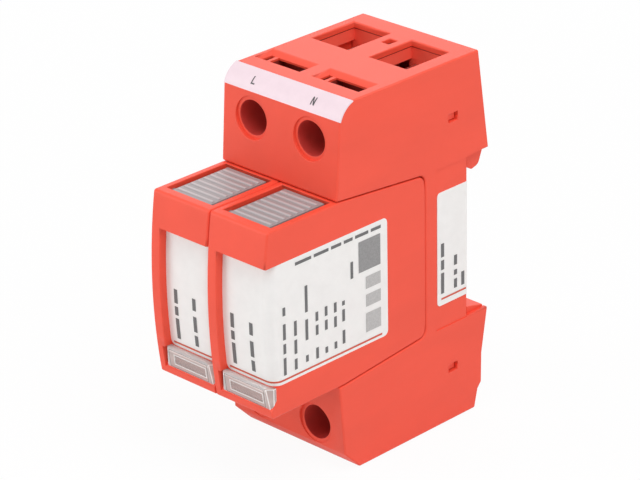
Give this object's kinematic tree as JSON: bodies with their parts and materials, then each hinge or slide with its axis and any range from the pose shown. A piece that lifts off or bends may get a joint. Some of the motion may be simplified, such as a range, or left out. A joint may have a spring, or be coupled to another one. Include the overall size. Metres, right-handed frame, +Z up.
{
  "type": "din rail surge arrester",
  "caption": "Rail-mounted surge arrester: a red base with screw terminals above and below, a rail hook and sliding foot, and plug-in protection modules with release keys.",
  "frame": {"origin": "centre of the rail seat, on the rail's centre line", "axes": "+X to the right seen from the front, +Y to the rear towards the rail, +Z up"},
  "size_m": [0.036, 0.0728, 0.09],
  "materials": {
    "red_plastic": "fine spark-eroded moulded surface",
    "dark_red_plastic": "moulded",
    "grey_plastic": "moulded",
    "white_film": "satin printed film",
    "white_print": "satin",
    "clear_plastic": "polished",
    "plated_steel": "zinc plated",
    "spring_steel": "drawn wire",
    "copper": "tinned edges, satin",
    "varistor_coating": "dip-coated epoxy over a zinc oxide block"
  },
  "bodies": {
    "base": {"base_housing": "red_plastic", "rear_insert": "red_plastic", "upper_terminal_holder": "red_plastic", "lower_terminal_holder": "red_plastic", "foot_spring": "spring_steel", "marking_strip": "white_print", "base_label": "white_film", "contact_strip_upper_left": "copper", "contact_strip_upper_right": "copper", "contact_strip_lower_left": "copper", "contact_strip_lower_right": "copper"},
    "foot": {"rail_foot": "red_plastic"},
    "screw_upper_left": {"terminal_screw_upper_left": "plated_steel"},
    "cage_upper_left": {"terminal_cage_upper_left": "plated_steel"},
    "screw_upper_right": {"terminal_screw_upper_right": "plated_steel"},
    "cage_upper_right": {"terminal_cage_upper_right": "plated_steel"},
    "screw_lower_left": {"terminal_screw_lower_left": "plated_steel"},
    "cage_lower_left": {"terminal_cage_lower_left": "plated_steel"},
    "screw_lower_right": {"terminal_screw_lower_right": "plated_steel"},
    "cage_lower_right": {"terminal_cage_lower_right": "plated_steel"},
    "module_left": {"module_cover_left": "red_plastic", "module_carrier_left": "dark_red_plastic", "module_label_left": "white_film", "indicator_window_left": "clear_plastic", "trip_spring_left": "spring_steel", "varistor_left": "varistor_coating", "upper_blade_left": "copper", "lower_blade_left": "copper", "upper_key_spring_left": "spring_steel", "lower_key_spring_left": "spring_steel"},
    "flag_left": {"indicator_flag_left": "grey_plastic"},
    "arm_left": {"disconnector_arm_left": "copper"},
    "upper_key_left": {"upper_key_left": "grey_plastic"},
    "lower_key_left": {"lower_key_left": "grey_plastic"},
    "module_right": {"module_cover_right": "red_plastic", "module_carrier_right": "dark_red_plastic", "module_label_right": "white_film", "indicator_window_right": "clear_plastic", "trip_spring_right": "spring_steel", "varistor_right": "varistor_coating", "upper_blade_right": "copper", "lower_blade_right": "copper", "upper_key_spring_right": "spring_steel", "lower_key_spring_right": "spring_steel"},
    "flag_right": {"indicator_flag_right": "grey_plastic"},
    "arm_right": {"disconnector_arm_right": "copper"},
    "upper_key_right": {"upper_key_right": "grey_plastic"},
    "lower_key_right": {"lower_key_right": "grey_plastic"}
  },
  "joints": [
    {"name": "foot_slide", "type": "slide", "parent": "base", "child": "foot", "axis": [0, 0, 1], "range_m": [-0.004, 0], "stiffness_N_per_m": 600, "springref_m": 0.004, "deforming": ["foot_spring"]},
    {"name": "cage_upper_left_slide", "type": "slide", "parent": "base", "child": "cage_upper_left", "axis": [0, 1, 0], "range_m": [-0.0056, 0]},
    {"name": "screw_upper_left_turn", "type": "hinge", "parent": "base", "child": "screw_upper_left", "pos_m": [-0.009, -0.022, 0.03485], "axis": [0, 1, 0], "range_deg": [0, 2520.1]},
    {"name": "cage_upper_right_slide", "type": "slide", "parent": "base", "child": "cage_upper_right", "axis": [0, 1, 0], "range_m": [-0.0056, 0]},
    {"name": "screw_upper_right_turn", "type": "hinge", "parent": "base", "child": "screw_upper_right", "pos_m": [0.009, -0.022, 0.03485], "axis": [0, 1, 0], "range_deg": [0, 2520.1]},
    {"name": "cage_lower_left_slide", "type": "slide", "parent": "base", "child": "cage_lower_left", "axis": [0, 1, 0], "range_m": [-0.0056, 0]},
    {"name": "screw_lower_left_turn", "type": "hinge", "parent": "base", "child": "screw_lower_left", "pos_m": [-0.009, -0.022, -0.03485], "axis": [0, 1, 0], "range_deg": [0, 2520.1]},
    {"name": "cage_lower_right_slide", "type": "slide", "parent": "base", "child": "cage_lower_right", "axis": [0, 1, 0], "range_m": [-0.0056, 0]},
    {"name": "screw_lower_right_turn", "type": "hinge", "parent": "base", "child": "screw_lower_right", "pos_m": [0.009, -0.022, -0.03485], "axis": [0, 1, 0], "range_deg": [0, 2520.1]},
    {"name": "module_left_pull", "type": "slide", "parent": "base", "child": "module_left", "axis": [0, -1, 0], "range_m": [0, 0.045]},
    {"name": "flag_left_trip", "type": "slide", "parent": "module_left", "child": "flag_left", "axis": [0, 0, 1], "range_m": [0, 0.0055], "deforming": ["trip_spring_left"]},
    {"name": "arm_left_release", "type": "hinge", "parent": "module_left", "child": "arm_left", "pos_m": [-0.00905, -0.01885, -0.012], "axis": [0, 0, 1], "range_deg": [0, 8.01]},
    {"name": "upper_key_left_press", "type": "hinge", "parent": "module_left", "child": "upper_key_left", "pos_m": [-0.009, -0.05895, 0.0203], "axis": [1, 0, 0], "range_deg": [-3.6, 0], "stiffness_Nm_per_rad": 0.05, "springref_deg": 2.86, "deforming": ["upper_key_spring_left"]},
    {"name": "lower_key_left_press", "type": "hinge", "parent": "module_left", "child": "lower_key_left", "pos_m": [-0.009, -0.05895, -0.0203], "axis": [1, 0, 0], "range_deg": [0, 3.6], "stiffness_Nm_per_rad": 0.05, "springref_deg": -2.86, "deforming": ["lower_key_spring_left"]},
    {"name": "module_right_pull", "type": "slide", "parent": "base", "child": "module_right", "axis": [0, -1, 0], "range_m": [0, 0.045]},
    {"name": "flag_right_trip", "type": "slide", "parent": "module_right", "child": "flag_right", "axis": [0, 0, 1], "range_m": [0, 0.0055], "deforming": ["trip_spring_right"]},
    {"name": "arm_right_release", "type": "hinge", "parent": "module_right", "child": "arm_right", "pos_m": [0.00895, -0.01885, -0.012], "axis": [0, 0, 1], "range_deg": [0, 8.01]},
    {"name": "upper_key_right_press", "type": "hinge", "parent": "module_right", "child": "upper_key_right", "pos_m": [0.009, -0.05895, 0.0203], "axis": [1, 0, 0], "range_deg": [-3.6, 0], "stiffness_Nm_per_rad": 0.05, "springref_deg": 2.86, "deforming": ["upper_key_spring_right"]},
    {"name": "lower_key_right_press", "type": "hinge", "parent": "module_right", "child": "lower_key_right", "pos_m": [0.009, -0.05895, -0.0203], "axis": [1, 0, 0], "range_deg": [0, 3.6], "stiffness_Nm_per_rad": 0.05, "springref_deg": -2.86, "deforming": ["lower_key_spring_right"]}
  ],
  "couplings": [
    {"joint": "screw_upper_left_turn", "follows": "cage_upper_left_slide", "rad_per_m": -7854},
    {"joint": "screw_upper_right_turn", "follows": "cage_upper_right_slide", "rad_per_m": -7854},
    {"joint": "screw_lower_left_turn", "follows": "cage_lower_left_slide", "rad_per_m": -7854},
    {"joint": "screw_lower_right_turn", "follows": "cage_lower_right_slide", "rad_per_m": -7854},
    {"joint": "arm_left_release", "follows": "flag_left_trip", "rad_per_m": 25.387},
    {"joint": "arm_right_release", "follows": "flag_right_trip", "rad_per_m": 25.387}
  ]
}
